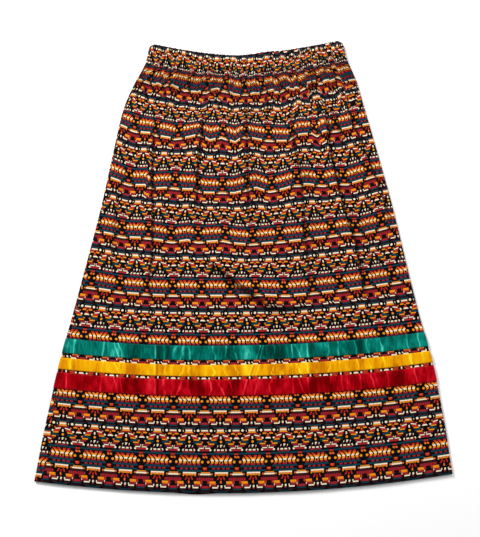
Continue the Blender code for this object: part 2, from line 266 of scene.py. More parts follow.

# Tone of the cotton, with painted shade in hollows and valleys and painted light on the casing
HOLLOW_SHADE = 0.72          # how much darker a full hollow is
VALLEY_SHADE = 0.55          # a valley between puckers, against a full hollow
CASING_SHADE = 0.28          # the same in the casing
CASING_PAINTED_LIGHT = 0.16           # and how much brighter all of the casing is
THREAD_TONE = (0.36, 0.66)   # how uneven the threads are, and the darkest of them

# Mesh spacing
FRONT_COLUMNS = 396
FRONT_ROWS = 215
BACK_COLUMNS = 216
BACK_ROWS = 140
CASING_COLUMNS = 432
RIBBON_COLUMNS = 640
ARC_STEPS = 6
SHEET_THICK = 0.0007
RIBBON_THICK = 0.00035

# Sewing: the turned hem, and stitches near the edges that they hold
HEM_DEEP = 0.02
HEM_STEP = 0.0003
HEM_STITCH = 0.003           # below the turned hem's upper edge
STITCH_PITCH = 0.0031
STITCH_LONG = 0.0024
THREAD = 0.00015
EDGE_STITCH = 0.0014
CASING_STITCH = 0.043

# The casing's section: where its rolled edge ends and where its seam's dip starts
ROLLED = 0.006
SEAM_DIP = 0.044


def smooth(value):
    value = np.clip(value, 0.0, 1.0)
    return value * value * (3.0 - 2.0 * value)


def ease_ends(share, first, last):
    """0 at both ends of a share from 0 to 1, easing to 1 over these reaches."""
    return smooth(share / first) * smooth((1.0 - share) / last)


def read_table(table, down):
    """Read every column of a table at one distance down the side, on a smooth curve."""
    last = len(table) - 1
    index = 0
    while index < last - 1 and table[index + 1][0] < down:
        index += 1
    before = table[max(index - 1, 0)]
    start, end = table[index], table[index + 1]
    after = table[min(index + 2, last)]
    span = end[0] - start[0]
    u = min(max((down - start[0]) / span, 0.0), 1.0)
    values = []
    for column in range(1, len(start)):
        slope_in = (end[column] - before[column]) / (end[0] - before[0]) * span
        slope_out = (after[column] - start[column]) / (after[0] - start[0]) * span
        values.append(start[column] * (1 + 2 * u) * (1 - u) ** 2
                      + slope_in * u * (1 - u) ** 2
                      + end[column] * u * u * (3 - 2 * u)
                      + slope_out * u * u * (u - 1))
    return values


def columns_of(table, downs):
    """Read a table at many distances: one column vector for each of its columns."""
    values = np.array([read_table(table, down) for down in downs[:, 0]])
    return [values[:, k:k + 1] for k in range(values.shape[1])]


def thread_line(x, downs):
    """Y of the cross threads that meet the sides at these distances down."""
    left, right, dip, power = columns_of(SIDES, downs)
    reach = np.where(x > 0, right, left)
    across = np.minimum(np.abs(x) / reach, 1.0)
    return WAIST_Y - downs - dip * (1.0 - across ** power)


def along_fold(fold, x, y):
    """Signed distance from a fold's route, right being positive, and its end fade."""
    route = [(x1 / 1000.0, y1 / 1000.0) for x1, y1 in zip(fold[5::2], fold[6::2])]
    whole = sum(math.dist(a, b) for a, b in zip(route, route[1:]))
    nearest = np.full(x.shape, np.inf)
    signed, along = np.zeros_like(x), np.zeros_like(x)
    start = 0.0
    for (ax, ay), (bx, by) in zip(route, route[1:]):
        length = math.hypot(bx - ax, by - ay)
        dx, dy = (bx - ax) / length, (by - ay) / length
        held = np.clip((x - ax) * dx + (y - ay) * dy, 0.0, length)
        distance = np.hypot(x - ax - held * dx, y - ay - held * dy)
        nearer = distance < nearest
        nearest = np.where(nearer, distance, nearest)
        signed = np.where(nearer, dx * (y - ay) - dy * (x - ax), signed)
        along = np.where(nearer, start + held, along)
        start += length
    share = along / whole
    return np.sign(signed) * nearest, ease_ends(share, FADE_IN, FADE_OUT)


def fold_forms(folds, x, y):
    """Long folds at each point: their height, the painted shade in their dips, how far the
    crests lie over, and the cloth that they hide to the left of it."""
    height, dark, shift, hidden = (np.zeros_like(x) for _ in range(4))
    for fold in folds:
        spread, tall, steep_side, cloth, foot = fold[:5]
        signed, fade = along_fold(fold, x, y)
        out = signed * steep_side
        crest = np.exp(-(out / np.where(out < 0, spread, STEEP_SHARE * spread)) ** 2)
        dip = np.exp(-((out - FOOT_SHARE * spread - foot) / foot) ** 2)
        height += tall * fade * (crest - DIP_SHARE * dip)
        # Painted shade in the dip at the fold's foot
        dark = np.maximum(dark, min(tall / SHADED_HEIGHT, 1.0) * fade * dip)
        shift += steep_side * FOLD_LEAN * tall * fade * crest
        beyond = (signed - HIDDEN_SHARE * spread * steep_side) / (0.5 * foot)
        hidden += cloth * fade * (0.5 * np.tanh(beyond))
    return SimpleNamespace(height=height, dark=dark, shift=shift, hidden=hidden)


def row_drift(x, downs):
    """How far the gathers and folds pull the printed rows towards the hem."""
    left, right, _, _ = columns_of(SIDES, downs)
    across = x / np.where(x > 0, right, left)
    levels = []
    for row in ROW_DRIFT:
        row_left, row_right, _, _ = read_table(SIDES, row[0])
        places = np.array(row[1::2]) / 1000.0
        places = places / np.where(places > 0, row_right, row_left)
        levels.append(np.interp(across, places, np.array(row[2::2]) / 1000.0))
    total = np.zeros_like(x)
    for index, start in enumerate(ROW_DRIFT[:-1]):
        end = ROW_DRIFT[index + 1]
        share = (downs - start[0]) / (end[0] - start[0])
        if index == 0:
            share = np.maximum(share, 0.0)
        inside = (share >= 0.0) & ((share < 1.0) | (index == len(ROW_DRIFT) - 2))
        mixed = levels[index] + (levels[index + 1] - levels[index]) * smooth(share)
        total = np.where(inside, mixed, total)
    return total


def uneven_key(key):
    """Space the puckers unevenly; key counts their valleys and ridges."""
    return key + 0.45 * np.sin(0.83 * key + 0.6) + 0.3 * np.sin(0.31 * key)


def under_casing(downs, reach=GATHER_REACH):
    """1 at the casing's seam, easing to 0 this far below it."""
    return smooth(1.0 - (downs - CASING) / reach)


def gather(key, downs, height=GATHER_HEIGHT):
    """Height of the puckers below the casing."""
    key = uneven_key(key)
    number = np.floor(key / 2.0) * 2.0 + 1.0
    uneven = 0.66 + 0.22 * np.sin(2.3 * number) + 0.12 * np.sin(0.71 * number + 1.0)
    run_out = under_casing(downs, 1.35 * GATHER_REACH * uneven)
    side = smooth(np.minimum(key, FINE - key) / 4.0)
    wave = 0.5 - 0.5 * np.cos(np.pi * key)
    return height * side * wave * uneven * run_out


def ribbon_room(downs):
    """How far the back panel is lifted by the ribbons that lie under it."""
    first, last = RIBBONS[0], RIBBONS[-1]
    rise = smooth((downs - first[1] + 0.03) / 0.028)
    fall = smooth((last[1] + last[2] + 0.035 - downs) / 0.033)
    return (RIBBON_WALL + RIBBON_LIFT) * np.minimum(rise, fall)


def ripple(x, y, seed):
    """Low unevenness of resting cloth, about 1 high at most."""
    a = np.sin(31.0 * x + 7.0 * y + seed) * np.sin(11.0 * y - 9.0 * x + 2.0 * seed)
    b = np.sin(67.0 * x - 13.0 * y + 3.0 * seed) * np.sin(23.0 * y + 17.0 * x - seed)
    return 0.6 * a + 0.4 * b


class PanelLevels:
    """Heights of the middle of the cloth in the two panels."""

    wall = WALL

    def floor(self, downs):
        return WALL / 2.0 + ribbon_room(downs)

    def fold(self, folds, x, share, downs):
        return ease_ends(share, 0.06, 0.06) * fold_forms(folds, x, thread_line(x, downs)).height

    def back(self, x, share, key, downs):
        folds = np.maximum(self.fold(BACK_FOLDS, x, share, downs), 0.0)
        return self.floor(downs) + gather(key, downs) + folds

    def front(self, x, share, key, downs):
        middle = ease_ends(share, 0.1, 0.1)
        loft = EDGE_LOFT + (LOFT - EDGE_LOFT) * middle
        apart = GATHER_HEIGHT * under_casing(downs) + WALL + INSIDE_GAP
        y = thread_line(x, downs)
        uneven = RIPPLE * middle * (1.0 + ripple(x, y, 0.4))
        folds = self.fold(FRONT_FOLDS, x, share, downs)
        folds = folds + np.maximum(self.fold(BACK_FOLDS, x, share, downs), 0.0)
        puckers = gather(key, downs, GATHER_PEAK)
        return self.floor(downs) + apart + loft + uneven + folds + puckers


class CasingLevels:
    """Heights of the middle of the casing's two halves."""

    wall = CASING_WALL

    def back(self, x, share, key, downs):
        return CASING_WALL / 2.0 + 0.0 * x

    def front(self, x, share, key, downs):
        return CASING_WALL * 1.5 + INSIDE_GAP + CASING_LOFT + 0.0 * x


def side_folds(levels, downs):
    """Centres and radii of the two side folds for each row."""
    left, right, _, _ = columns_of(SIDES, downs)
    ends = []
    zero = np.zeros_like(left)
    for side, share, sign in ((-left, zero, 1.0), (right, zero + 1.0, -1.0)):
        low = levels.back(side, share, zero, downs)
        high = levels.front(side, share, zero, downs)
        radius = (high - low) / 2.0
        ends.append((side + sign * (radius + levels.wall / 2.0), (high + low) / 2.0, radius))
    return ends


def wrap_of(downs):
    wrap, = columns_of(WRAP, downs)
    return np.maximum(wrap, 2.0 * SEAM_GAP)


def arc_columns(centre, first, last, steps):
    """Columns round a side fold, from one angle in degrees to another."""
    cx, cz, radius = centre
    angle = np.radians(np.linspace(0.0, 1.0, steps + 1)[None, :] * (last - first) + first)
    out_x = np.cos(angle) + 0.0 * cx
    out_z = np.sin(angle) + 0.0 * cx
    return cx + radius * out_x, cz + radius * out_z, out_x, out_z


def join(downs, *spans):
    """Cloth points from spans of columns: place, way out, place along the puckers from 0
    to FINE, and share of the width."""
    names = ("x", "z", "out_x", "out_z", "key", "share")
    grids = (np.hstack(grids) for grids in zip(*spans))
    return SimpleNamespace(**dict(zip(names, grids)), downs=downs)


def front_surface(levels, downs, columns):
    """The front half, from the left seam over the top to the right fold's edge."""
    left, right = side_folds(levels, downs)
    width = right[0] - left[0]
    seam = wrap_of(downs) / width
    t = np.linspace(0.0, 1.0, columns + 1)[None, :]
    share = seam + (1.0 - seam) * t
    key = FINE * t + 0.0 * seam
    x = left[0] + width * share
    z = levels.front(x, share, key, downs)
    edge = [grid[:, 1:] for grid in arc_columns(right, 90.0, 1.0, ARC_STEPS)]
    ones = np.ones_like(edge[0])
    return join(downs, (x, z, 0.0 * x, 0.0 * x + 1.0, key, share),
                (*edge, FINE * ones, ones))


def back_surface(levels, downs, columns):
    """The back half, from the right fold under the skirt, round the left fold."""
    left, right = side_folds(levels, downs)
    width = right[0] - left[0]
    t = np.linspace(0.0, 1.0, columns + 1)[None, :]
    share = 1.0 - t + 0.0 * width
    key = FINE * t + 0.0 * width
    x = left[0] + width * share
    z = levels.back(x, share, key, downs)
    edge = [grid[:, :-1] for grid in arc_columns(right, -1.0, -90.0, ARC_STEPS)]
    turn = [grid[:, 1:] for grid in arc_columns(left, -90.0, -270.0, 2 * ARC_STEPS)]
    seam = wrap_of(downs) / width
    strip = seam * np.array([[0.25, 0.5, 0.75, 1.0]])
    sx = left[0] + width * strip
    sx[:, -1:] -= SEAM_GAP
    sz = levels.front(sx, strip, 0.0 * strip, downs)
    return join(downs, (*edge, 0.0 * edge[0], 1.0 + 0.0 * edge[0]),
                (x, z, 0.0 * x, 0.0 * x - 1.0, key, share),
                (*turn, FINE + 0.0 * turn[0], 0.0 * turn[0]),
                (sx, sz, 0.0 * sx, 0.0 * sx + 1.0, FINE + 0.0 * sx, strip))


def print_place(surface, folds, front):
    """Place of each point on the print, counted in repeats across and down."""
    downs = surface.downs
    rows, column, fullness = columns_of(PRINT_GRID, downs)
    left, right = side_folds(PanelLevels(), downs)
    width = right[0] - left[0]
    x = surface.x
    y = thread_line(x, downs)
    steps = np.hypot(np.diff(x, axis=1), np.diff(surface.z, axis=1))
    walked = np.hstack([np.zeros((len(x), 1)), np.cumsum(steps, axis=1)])
    off = x - column if front else surface.key - FINE / 2.0
    start = np.abs(off).argmin(axis=1)
    walked = walked - walked[np.arange(len(x)), start][:, None]
    cloth = walked * (fullness if front else -fullness) + fold_forms(folds, x, y).hidden
    pucker_step = width / FINE
    ease = under_casing(downs, 1.1 * GATHER_REACH)
    cloth = cloth + PUCKER_FILL * (fullness - 1.0) * ease * pucker_step / np.pi \
        * np.sin(np.pi * surface.key)
    pulled = row_drift(x, downs) if front else row_drift(-x, downs) + BACK_SLIP
    return 0.5 + cloth / REPEAT_WIDE, rows - pulled / REPEAT_HIGH


def slip(key, x, downs):
    """How far the print jumps from pucker to pucker, in repeats: they crowd on the right."""
    number = np.floor(key / 2.0)
    crowded = smooth((x - 0.04) / 0.08)
    reach = GATHER_REACH * (1.0 + 0.9 * crowded)
    strength = (0.7 + 0.9 * crowded) * under_casing(downs, reach)
    across = SLIP_ACROSS * np.sin(4.3 * number + 1.1 * np.sin(2.3 * number))
    down = SLIP_DOWN * np.sin(2.7 * number + 1.3 * np.sin(1.9 * number))
    return across * strength, down * strength


def add(name, data):
    """Put a new object in the scene."""
    thing = bpy.data.objects.new(name, data)
    bpy.context.scene.collection.objects.link(thing)
    return thing


def note(piece, name, values):
    """Store one number for each point of a piece."""
    layer = piece.data.attributes.new(name, "FLOAT", "POINT")
    layer.data.foreach_set("value", np.ascontiguousarray(values, dtype=np.float32).ravel())


def quad_mesh(name, verts, quads):
    """A smooth mesh from points and four-sided faces."""
    mesh = bpy.data.meshes.new(name)
    mesh.vertices.add(len(verts))
    mesh.vertices.foreach_set("co", verts.ravel())
    mesh.loops.add(quads.size)
    mesh.loops.foreach_set("vertex_index", quads.ravel().astype(np.int32))
    mesh.polygons.add(len(quads))
    mesh.polygons.foreach_set("loop_start", np.arange(0, quads.size, 4, dtype=np.int32))
    mesh.update(calc_edges=True)
    mesh.shade_smooth()
    return add(name, mesh)


def grid_mesh(name, x, y, z, across, down, thick):
    """A sheet from grids of points, with its print place as a UV map, given a wall."""
    rows, columns = x.shape
    verts = np.stack([x, y, z], axis=-1).reshape(-1, 3)
    index = np.arange(rows * columns).reshape(rows, columns)
    quads = np.stack([index[:-1, :-1], index[1:, :-1], index[1:, 1:], index[:-1, 1:]],
                     axis=-1).reshape(-1, 4)
    piece = quad_mesh(name, verts, quads)
    layer = piece.data.uv_layers.new(name="Print")
    place = np.stack([across, down], axis=-1).reshape(-1, 2)
    layer.data.foreach_set("uv", place[quads.ravel()].ravel())
    wall = piece.modifiers.new("Wall", "SOLIDIFY")
    wall.thickness = thick
    wall.offset = -1.0
    wall.use_rim_only = True
    return piece


def row_places(first, last, count, power=1.0):
    """Distances down the side, closer together at the start when power is over 1."""
    return (first + (last - first) * np.linspace(0.0, 1.0, count) ** power)[:, None]


def sew_on(piece, node, material):
    """Give a sheet its material and body, and hide the CAD part that it stands in for."""
    piece.data.materials.append(material)
    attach(piece, "root")
    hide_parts(node)


def bump(value, centre, half_width):
    return smooth(1.0 - np.abs(value - centre) / half_width)


def panel_face(front, downs):
    """Points on the outer face of one panel."""
    if front:
        surface = front_surface(PanelLevels(), downs, FRONT_COLUMNS)
    else:
        surface = back_surface(PanelLevels(), downs, BACK_COLUMNS)
    y = thread_line(surface.x, downs)
    if front:
        surface.x = surface.x + fold_forms(FRONT_FOLDS, surface.x, y).shift
    out = WALL / 2.0 + HEM_STEP * smooth((downs - LENGTH + HEM_DEEP) / 0.002)
    x = surface.x + surface.out_x * out
    z = surface.z + surface.out_z * out
    if not front:
        at_hem = smooth((downs - LENGTH + 0.06) / 0.06)
        y = y - at_hem * BACK_BELOW_HEM * bump(x, *BACK_HEM_AT)
        z = np.maximum(z, 0.0)
    return surface, x, y, z


def make_panel(name, front):
    """One panel: the outer face of its CAD wall, as a thin shell."""
    downs = row_places(CASING + SEAM_GAP, LENGTH, FRONT_ROWS if front else BACK_ROWS, 1.15)
    surface, x, y, z = panel_face(front, downs)
    folds = FRONT_FOLDS if front else BACK_FOLDS
    across, down = print_place(surface, folds, front)
    peak = GATHER_PEAK if front else GATHER_HEIGHT
    room = under_casing(downs)
    slip_across, slip_down = slip(uneven_key(surface.key), surface.x, downs)
    piece = grid_mesh(name, x, y, z, across + slip_across, down + slip_down, SHEET_THICK)
    # Painted shade: the valleys between puckers and the dips at the folds' feet are darkened in
    # colour
    valley = room * (1.0 - gather(surface.key, downs, 1.0) / np.maximum(room, 0.01))
    dark = fold_forms(folds, surface.x, y).dark
    between = VALLEY_SHADE * valley * peak / GATHER_PEAK
    note(piece, "PaintedShade", np.clip(np.maximum(between, dark), 0, 1))
    return piece


def casing_section():
    """Distances down the casing with its wall's share: rolled edge, body and seam."""
    rows = []
    for step in range(7):
        angle = math.pi / 2.0 * step / 6.0
        rows.append((ROLLED * (1.0 - math.cos(angle)), 0.1 + 0.9 * math.sin(angle)))
    for step in range(1, 15):
        rows.append((ROLLED + (SEAM_DIP - ROLLED) * step / 14.0, 1.0))
    for step in range(1, 5):
        rows.append((SEAM_DIP + (CASING - SEAM_GAP - SEAM_DIP) * step / 4.0,
                     1.0 - 0.26 * (step / 4.0) ** 2))
    return np.array(rows)


def casing_face(front, downs, fill):
    """Points on the puckered outer face of one half of the casing."""
    maker = front_surface if front else back_surface
    surface = maker(CasingLevels(), downs, CASING_COLUMNS)
    key = surface.key
    number = np.floor(key / 2.0) * 2.0 + 1.0
    side = smooth(np.minimum(key, FINE - key) / 2.0)
    wave = (0.5 + 0.5 * np.cos(np.pi * key)) * side
    uneven = 0.75 + 0.25 * np.sin(1.7 * number)
    waver = 1.0 + 0.25 * np.sin(95.0 * downs + 1.3 * number)
    sink = CASING_PUCKER * wave * uneven * waver
    out = CASING_WALL / 2.0 * (2.0 * fill - 1.0) - sink
    x = surface.x + surface.out_x * out
    z = surface.z + surface.out_z * out
    y = thread_line(surface.x, downs)
    y = y - 0.0007 * wave * smooth(1.0 - downs / 0.01)
    corner = np.maximum(np.abs(surface.share - 0.5) - 0.475, 0.0) / 0.025
    y = y - CORNER_DROP * corner ** 2 * smooth(1.0 - downs / 0.02)
    if not front:
        y = y + BACK_ABOVE_WAIST * bump(x, *BACK_WAIST_AT) * smooth(1.0 - downs / 0.03)
    return surface, x, y, np.maximum(z, 0.0), wave * uneven


def make_casing(name, front):
    """Half of the casing: puckered cotton over a flat band."""
    section = casing_section()
    surface, x, y, z, sunk = casing_face(front, section[:, :1], section[:, 1:])
    across, down = print_place(surface, (), front)
    slip_across, slip_down = slip(surface.key, surface.x, section[:, :1])
    down = down + slip_down + SUNK_SLIP * sunk
    piece = grid_mesh(name, x, y, z, across + slip_across, down, SHEET_THICK)
    # Painted shade deep in the casing's valleys between puckers, painted light elsewhere on it
    note(piece, "PaintedShade", CASING_SHADE * sunk - CASING_PAINTED_LIGHT)
    return piece


def satin_creases(x, along, number):
    """Strength of the creases over one ribbon; along runs from 0 to 1 over its width."""
    total = np.zeros_like(x)
    for row, crease in enumerate(RIBBON_CREASES):
        place, (slant, waver, half_width, strength) = crease[number], crease[3:]
        bend = np.sin(5.5 * along + 1.9 * row + number)
        bend = bend + 0.35 * np.sin(14.0 * along + 4.1 * row)
        path = place + slant * (along - 0.5) + waver * bend
        gain = 0.86 + 0.26 * np.sin(3.7 * along + 2.3 * row + 1.7 * number)
        total += strength * gain * np.exp(-((1000.0 * x - path) / half_width) ** 2)
    return total


def ribbon_face(number, front, downs):
    """Points on a satin ribbon: edges sewn down, the middle a little proud."""
    _, top, width = RIBBONS[number]
    maker = front_surface if front else back_surface
    surface = maker(PanelLevels(), downs, RIBBON_COLUMNS)
    along = (downs - top) / width
    body = 1.0 - np.abs(2.0 * along - 1.0) ** 6
    turned = surface.x if front else surface.x[:, ::-1]
    creases = satin_creases(turned, along, number)
    lift = WALL / 2.0 + RIBBON_EDGE + RIBBON_PROUD * body
    lift = lift + CREASE_RISE * np.clip(creases, -0.6, 1.0) * (0.35 + 0.65 * body)
    x = surface.x + surface.out_x * lift
    z = surface.z + surface.out_z * lift
    return surface, x, thread_line(surface.x, downs), np.maximum(z, 0.0), creases


def make_ribbon(number, front):
    """One satin ribbon over one panel."""
    name, top, width = RIBBONS[number]
    downs = row_places(top, top + width, 13)
    surface, x, y, z, creases = ribbon_face(number, front, downs)
    across = surface.x / SATIN_SCALE
    down = downs / SATIN_SCALE + 0.0 * surface.x
    side = "front" if front else "back"
    piece = grid_mesh(f"ribbon_{name}_{side}_satin", x, y, z, across, down, RIBBON_THICK)
    # The creases' strength, painted as highlights and shade in the satin
    note(piece, "PaintedCreaseLight", creases)
    return piece


def stitch_line(face):
    """The points of one row of a face, with the way out of the cloth at each."""
    surface, x, y, z = face[:4]
    points = np.stack([x[0], y[0], z[0]], axis=-1)
    out = np.stack([surface.out_x[0], 0.0 * x[0], surface.out_z[0]], axis=-1)
    return points, out


def make_stitches(name, lines, material):
    """Sewing stitches: short spindles of thread, half pressed into the cloth."""
    verts = []
    for points, out in lines:
        walked = np.concatenate([[0.0], np.cumsum(np.linalg.norm(np.diff(points, axis=0),
                                                                 axis=1))])
        starts = np.arange(STITCH_PITCH, walked[-1] - STITCH_PITCH, STITCH_PITCH)
        places = starts[:, None] + STITCH_LONG * np.array([[0.0, 0.2, 0.8, 1.0]])
        middle, way = (np.stack([np.interp(places, walked, values[:, k]) for k in range(3)],
                                axis=-1) for values in (points, out))
        ahead = middle[:, -1:] - middle[:, :1]
        side = np.cross(ahead / np.linalg.norm(ahead, axis=-1, keepdims=True), way)
        radius = THREAD * np.array([0.45, 1.0, 1.0, 0.45])[None, :, None]
        corners = [middle + radius * (way * math.sin(turn) + side * math.cos(turn))
                   for turn in (0.0, math.pi / 2.0, math.pi, 1.5 * math.pi)]
        verts.append(np.stack(corners, axis=2).reshape(-1, 3))
    verts = np.concatenate(verts)
    verts[:, 2] = np.maximum(verts[:, 2], 0.0)
    ring = [(4 * r + k, 4 * r + (k + 1) % 4, 4 * r + 4 + (k + 1) % 4, 4 * r + 4 + k)
            for r in range(3) for k in range(4)] + [(3, 2, 1, 0), (12, 13, 14, 15)]
    firsts = np.arange(0, len(verts), 16)[:, None, None]
    piece = quad_mesh(name, verts, (firsts + np.array(ring)).reshape(-1, 4))
    piece.data.materials.append(material)
    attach(piece, "root")


class Nodes:
    """Short calls for a material's nodes."""

    def __init__(self, name):
        self.material = bpy.data.materials.new(name)
        self.material.use_nodes = True
        self.tree = self.material.node_tree
        self.shader = self.tree.nodes["Principled BSDF"]

    def feed(self, socket, value):
        if isinstance(value, bpy.types.NodeSocket):
            self.tree.links.new(value, socket)
        else:
            socket.default_value = value

    def math(self, operation, *values):
        node = self.tree.nodes.new("ShaderNodeMath")
        node.operation = operation
        for socket, value in zip(node.inputs, values):
            self.feed(socket, value)
        return node.outputs[0]

    def node(self, kind, **settings):
        node = self.tree.nodes.new(kind)
        for key, value in settings.items():
            if key in node.inputs:
                self.feed(node.inputs[key], value)
            else:
                setattr(node, key, value)
        return node

    def print_map(self):
        return self.node("ShaderNodeUVMap", uv_map="Print").outputs["UV"]

    def noise(self, scale):
        """Fine noise through the whole object."""
        place = self.node("ShaderNodeTexCoord").outputs["Object"]
        noise = self.node("ShaderNodeTexNoise", Vector=place, Scale=scale, Detail=2.0)
        return noise.outputs["Fac"]

    def ramp(self, value, *colours, mode="LINEAR"):
        """Turn a value into a colour, from pairs of a place and a colour."""
        ramp = self.node("ShaderNodeValToRGB", Fac=value)
        ramp.color_ramp.interpolation = mode
        stops = ramp.color_ramp.elements
        while len(stops) < len(colours):
            stops.new(0.5)
        for number, (place, colour) in enumerate(colours):
            stops[number].position = place
            stops[number].color = colour
        return ramp.outputs["Color"]

    def weave(self, uv, across, down, strength, depth):
        """Raise a plain weave over the UV map, with this many threads to its unit."""
        split = self.node("ShaderNodeSeparateXYZ", Vector=uv)
        warp = self.math("SINE", self.math("MULTIPLY", split.outputs["X"], across * math.pi))
        weft = self.math("SINE", self.math("MULTIPLY", split.outputs["Y"], down * math.pi))
        raised = self.node("ShaderNodeBump", Height=self.math("MULTIPLY", warp, weft),
                           Strength=strength, Distance=depth)
        self.feed(self.shader.inputs["Normal"], raised.outputs["Normal"])

    def finish(self, colour, roughness, **others):
        """Set the shader's colour, roughness and other inputs, and give the material."""
        self.feed(self.shader.inputs["Base Color"], colour)
        self.shader.inputs["Roughness"].default_value = roughness
        for key, value in others.items():
            self.shader.inputs[key.replace("_", " ")].default_value = value
        return self.material


def display(red, green, blue):
    """A colour as it is seen on a screen, 0 to 255, as linear light."""
    linear = []
    for value in (red, green, blue):
        value = value / 255.0
        linear.append(value / 12.92 if value < 0.04045 else ((value + 0.055) / 1.055) ** 2.4)
    return (*linear, 1.0)


# The print's inks, and the ribbons' tones of painted sheen, as seen on a screen
GROUND, TEAL, BROWN, DARK_RED, CRIMSON, RED, ORANGE, GOLD, CREAM = range(9)
INKS = ((13, 9, 13), (14, 62, 76), (60, 22, 24), (110, 24, 26), (164, 36, 46),
        (196, 46, 32), (238, 112, 38), (246, 150, 24), (255, 236, 202))
TONES = {
    # dark, middle, light, glint
    "green": ((0, 52, 44), (0, 92, 80), (12, 134, 120), (80, 206, 182)),
    "yellow": ((190, 112, 4), (222, 150, 4), (236, 176, 10), (252, 214, 40)),
    "red": ((102, 0, 3), (150, 1, 12), (190, 12, 28), (228, 54, 64)),
}

# One repeat of the print, charted. It is mirrored about column A, at 0 across,
# and column B, at HALF across; DEEP is its height. Lean slides a shape across as it
# goes down, grow widens it, and slope drops it as it goes outwards.
HALF = 15.8
DEEP = 61.5
BLEED = 0.14
SHAPES = (
    # across, down, half width, half height, ink, and where needed lean, grow, slope
    (0.0, 0.6, 6.6, 0.8, TEAL),
    (15.8, 0.4, 5.5, 0.4, BROWN),
    (15.8, 1.5, 4.6, 0.6, TEAL),
    (0.0, 2.0, 3.6, 0.45, ORANGE),
    (0.0, 3.4, 3.5, 0.95, CREAM),
    (0.0, 5.2, 4.1, 0.85, GOLD, 0.0, 0.4, 0.0),
    (5.6, 3.7, 0.45, 1.0, CREAM),
    (0.0, 6.8, 6.2, 0.65, CRIMSON),
    (15.8, 3.4, 3.5, 0.85, CREAM),
    (15.8, 5.1, 4.3, 0.65, RED),
    (12.5, 6.7, 2.0, 0.8, GOLD),
    (4.7, 8.8, 2.7, 0.7, CREAM, 0.0, 0.0, 0.2),
    (5.9, 10.8, 3.0, 1.15, RED, 0.0, 0.0, 0.1),
    (7.0, 12.9, 2.8, 0.75, GOLD, 0.0, 0.0, 0.05),
    (0.0, 10.7, 0.8, 1.45, CREAM),
    (15.8, 9.5, 1.6, 0.95, RED, 0.0, 0.6, 0.0),
    (15.8, 11.3, 2.5, 0.9, CREAM, 0.0, 0.7, 0.0),
    (0.0, 19.1, 0.8, 1.45, CREAM, 0.0, -0.35, 0.0),
    (8.0, 15.1, 3.6, 1.0, TEAL, 0.0, 0.0, -0.25),
    (9.7, 17.1, 2.9, 0.8, GOLD),
    (11.3, 19.1, 3.1, 0.85, CRIMSON),
    (14.9, 19.4, 0.5, 0.9, CREAM),
    (12.6, 21.2, 2.6, 0.65, CREAM),
    (15.8, 23.1, 5.2, 1.1, CRIMSON),
    (3.3, 19.1, 0.5, 0.9, CREAM),
    (3.3, 20.8, 0.65, 0.55, CRIMSON),
    (2.0, 23.0, 1.45, 0.85, CREAM),
    (5.6, 22.9, 0.75, 1.1, CREAM, 0.3, 0.0, 0.0),
    (0.0, 24.8, 6.0, 0.6, CRIMSON),
    (0.0, 26.6, 13.3, 0.8, TEAL),
    (15.8, 27.1, 2.2, 0.95, RED),
    (0.0, 39.0, 12.3, 0.85, TEAL),
    (2.5, 40.9, 1.5, 0.85, CRIMSON),
    (7.0, 40.9, 1.6, 0.85, CRIMSON),
    (0.0, 43.0, 12.0, 0.85, TEAL),
    (15.8, 41.1, 2.1, 1.5, RED, 0.0, -0.2, 0.0),
    (15.8, 40.6, 1.3, 0.55, ORANGE),
    (0.0, 44.9, 6.6, 0.85, CREAM),
    (0.0, 46.6, 4.1, 0.7, GOLD),
    (5.8, 46.8, 0.8, 1.2, GOLD),
    (15.8, 44.6, 4.6, 0.6, GOLD),
    (15.8, 46.2, 5.3, 0.85, CREAM),
    (15.8, 48.2, 6.8, 0.8, BROWN),
    (2.7, 49.6, 0.8, 1.8, RED, 0.45, 0.0, 0.0),
    (0.0, 50.3, 0.75, 1.2, RED),
    (0.0, 53.2, 0.85, 1.35, ORANGE),
    (15.8, 50.7, 8.6, 1.45, CRIMSON),
    (12.5, 53.5, 0.9, 1.6, RED),
    (8.2, 53.9, 3.2, 1.5, ORANGE),
    (8.4, 53.6, 3.0, 1.1, GOLD),
    (8.0, 56.3, 3.2, 0.75, CRIMSON),
    (6.2, 58.2, 2.9, 0.75, CREAM),
    (3.4, 56.8, 0.65, 0.9, CREAM),
    (0.0, 57.1, 0.9, 1.15, CREAM),
    (0.0, 59.0, 0.8, 0.8, CRIMSON),
    (11.3, 56.1, 0.5, 0.9, CREAM),
    (11.5, 57.9, 0.6, 0.9, CRIMSON),
    (15.8, 57.7, 3.4, 1.2, CRIMSON),
    (15.8, 59.8, 4.0, 0.6, TEAL),
    (6.2, 60.6, 2.6, 0.5, BROWN),
)
DOTS = (
    # across, down, radius, ink
    (9.3, 3.4, 2.0, GROUND),
    (9.3, 3.4, 1.25, CREAM),
    (7.9, 7.9, 0.8, ORANGE),
    (15.8, 7.7, 0.8, ORANGE),
    (10.2, 11.3, 0.95, CREAM),
    (0.0, 14.75, 1.2, GOLD),
    (12.7, 15.3, 0.9, ORANGE),
    (9.9, 23.0, 1.0, CREAM),
    (14.45, 30.0, 1.1, ORANGE),
    (12.8, 34.7, 2.9, GROUND),
    (12.8, 34.7, 1.3, GOLD),
    (0.0, 29.9, 1.0, GROUND),
    (0.0, 35.0, 1.1, GROUND),
    (1.7, 46.0, 0.8, ORANGE),
    (4.9, 46.2, 0.8, ORANGE),
    (9.5, 46.1, 0.9, ORANGE),
)

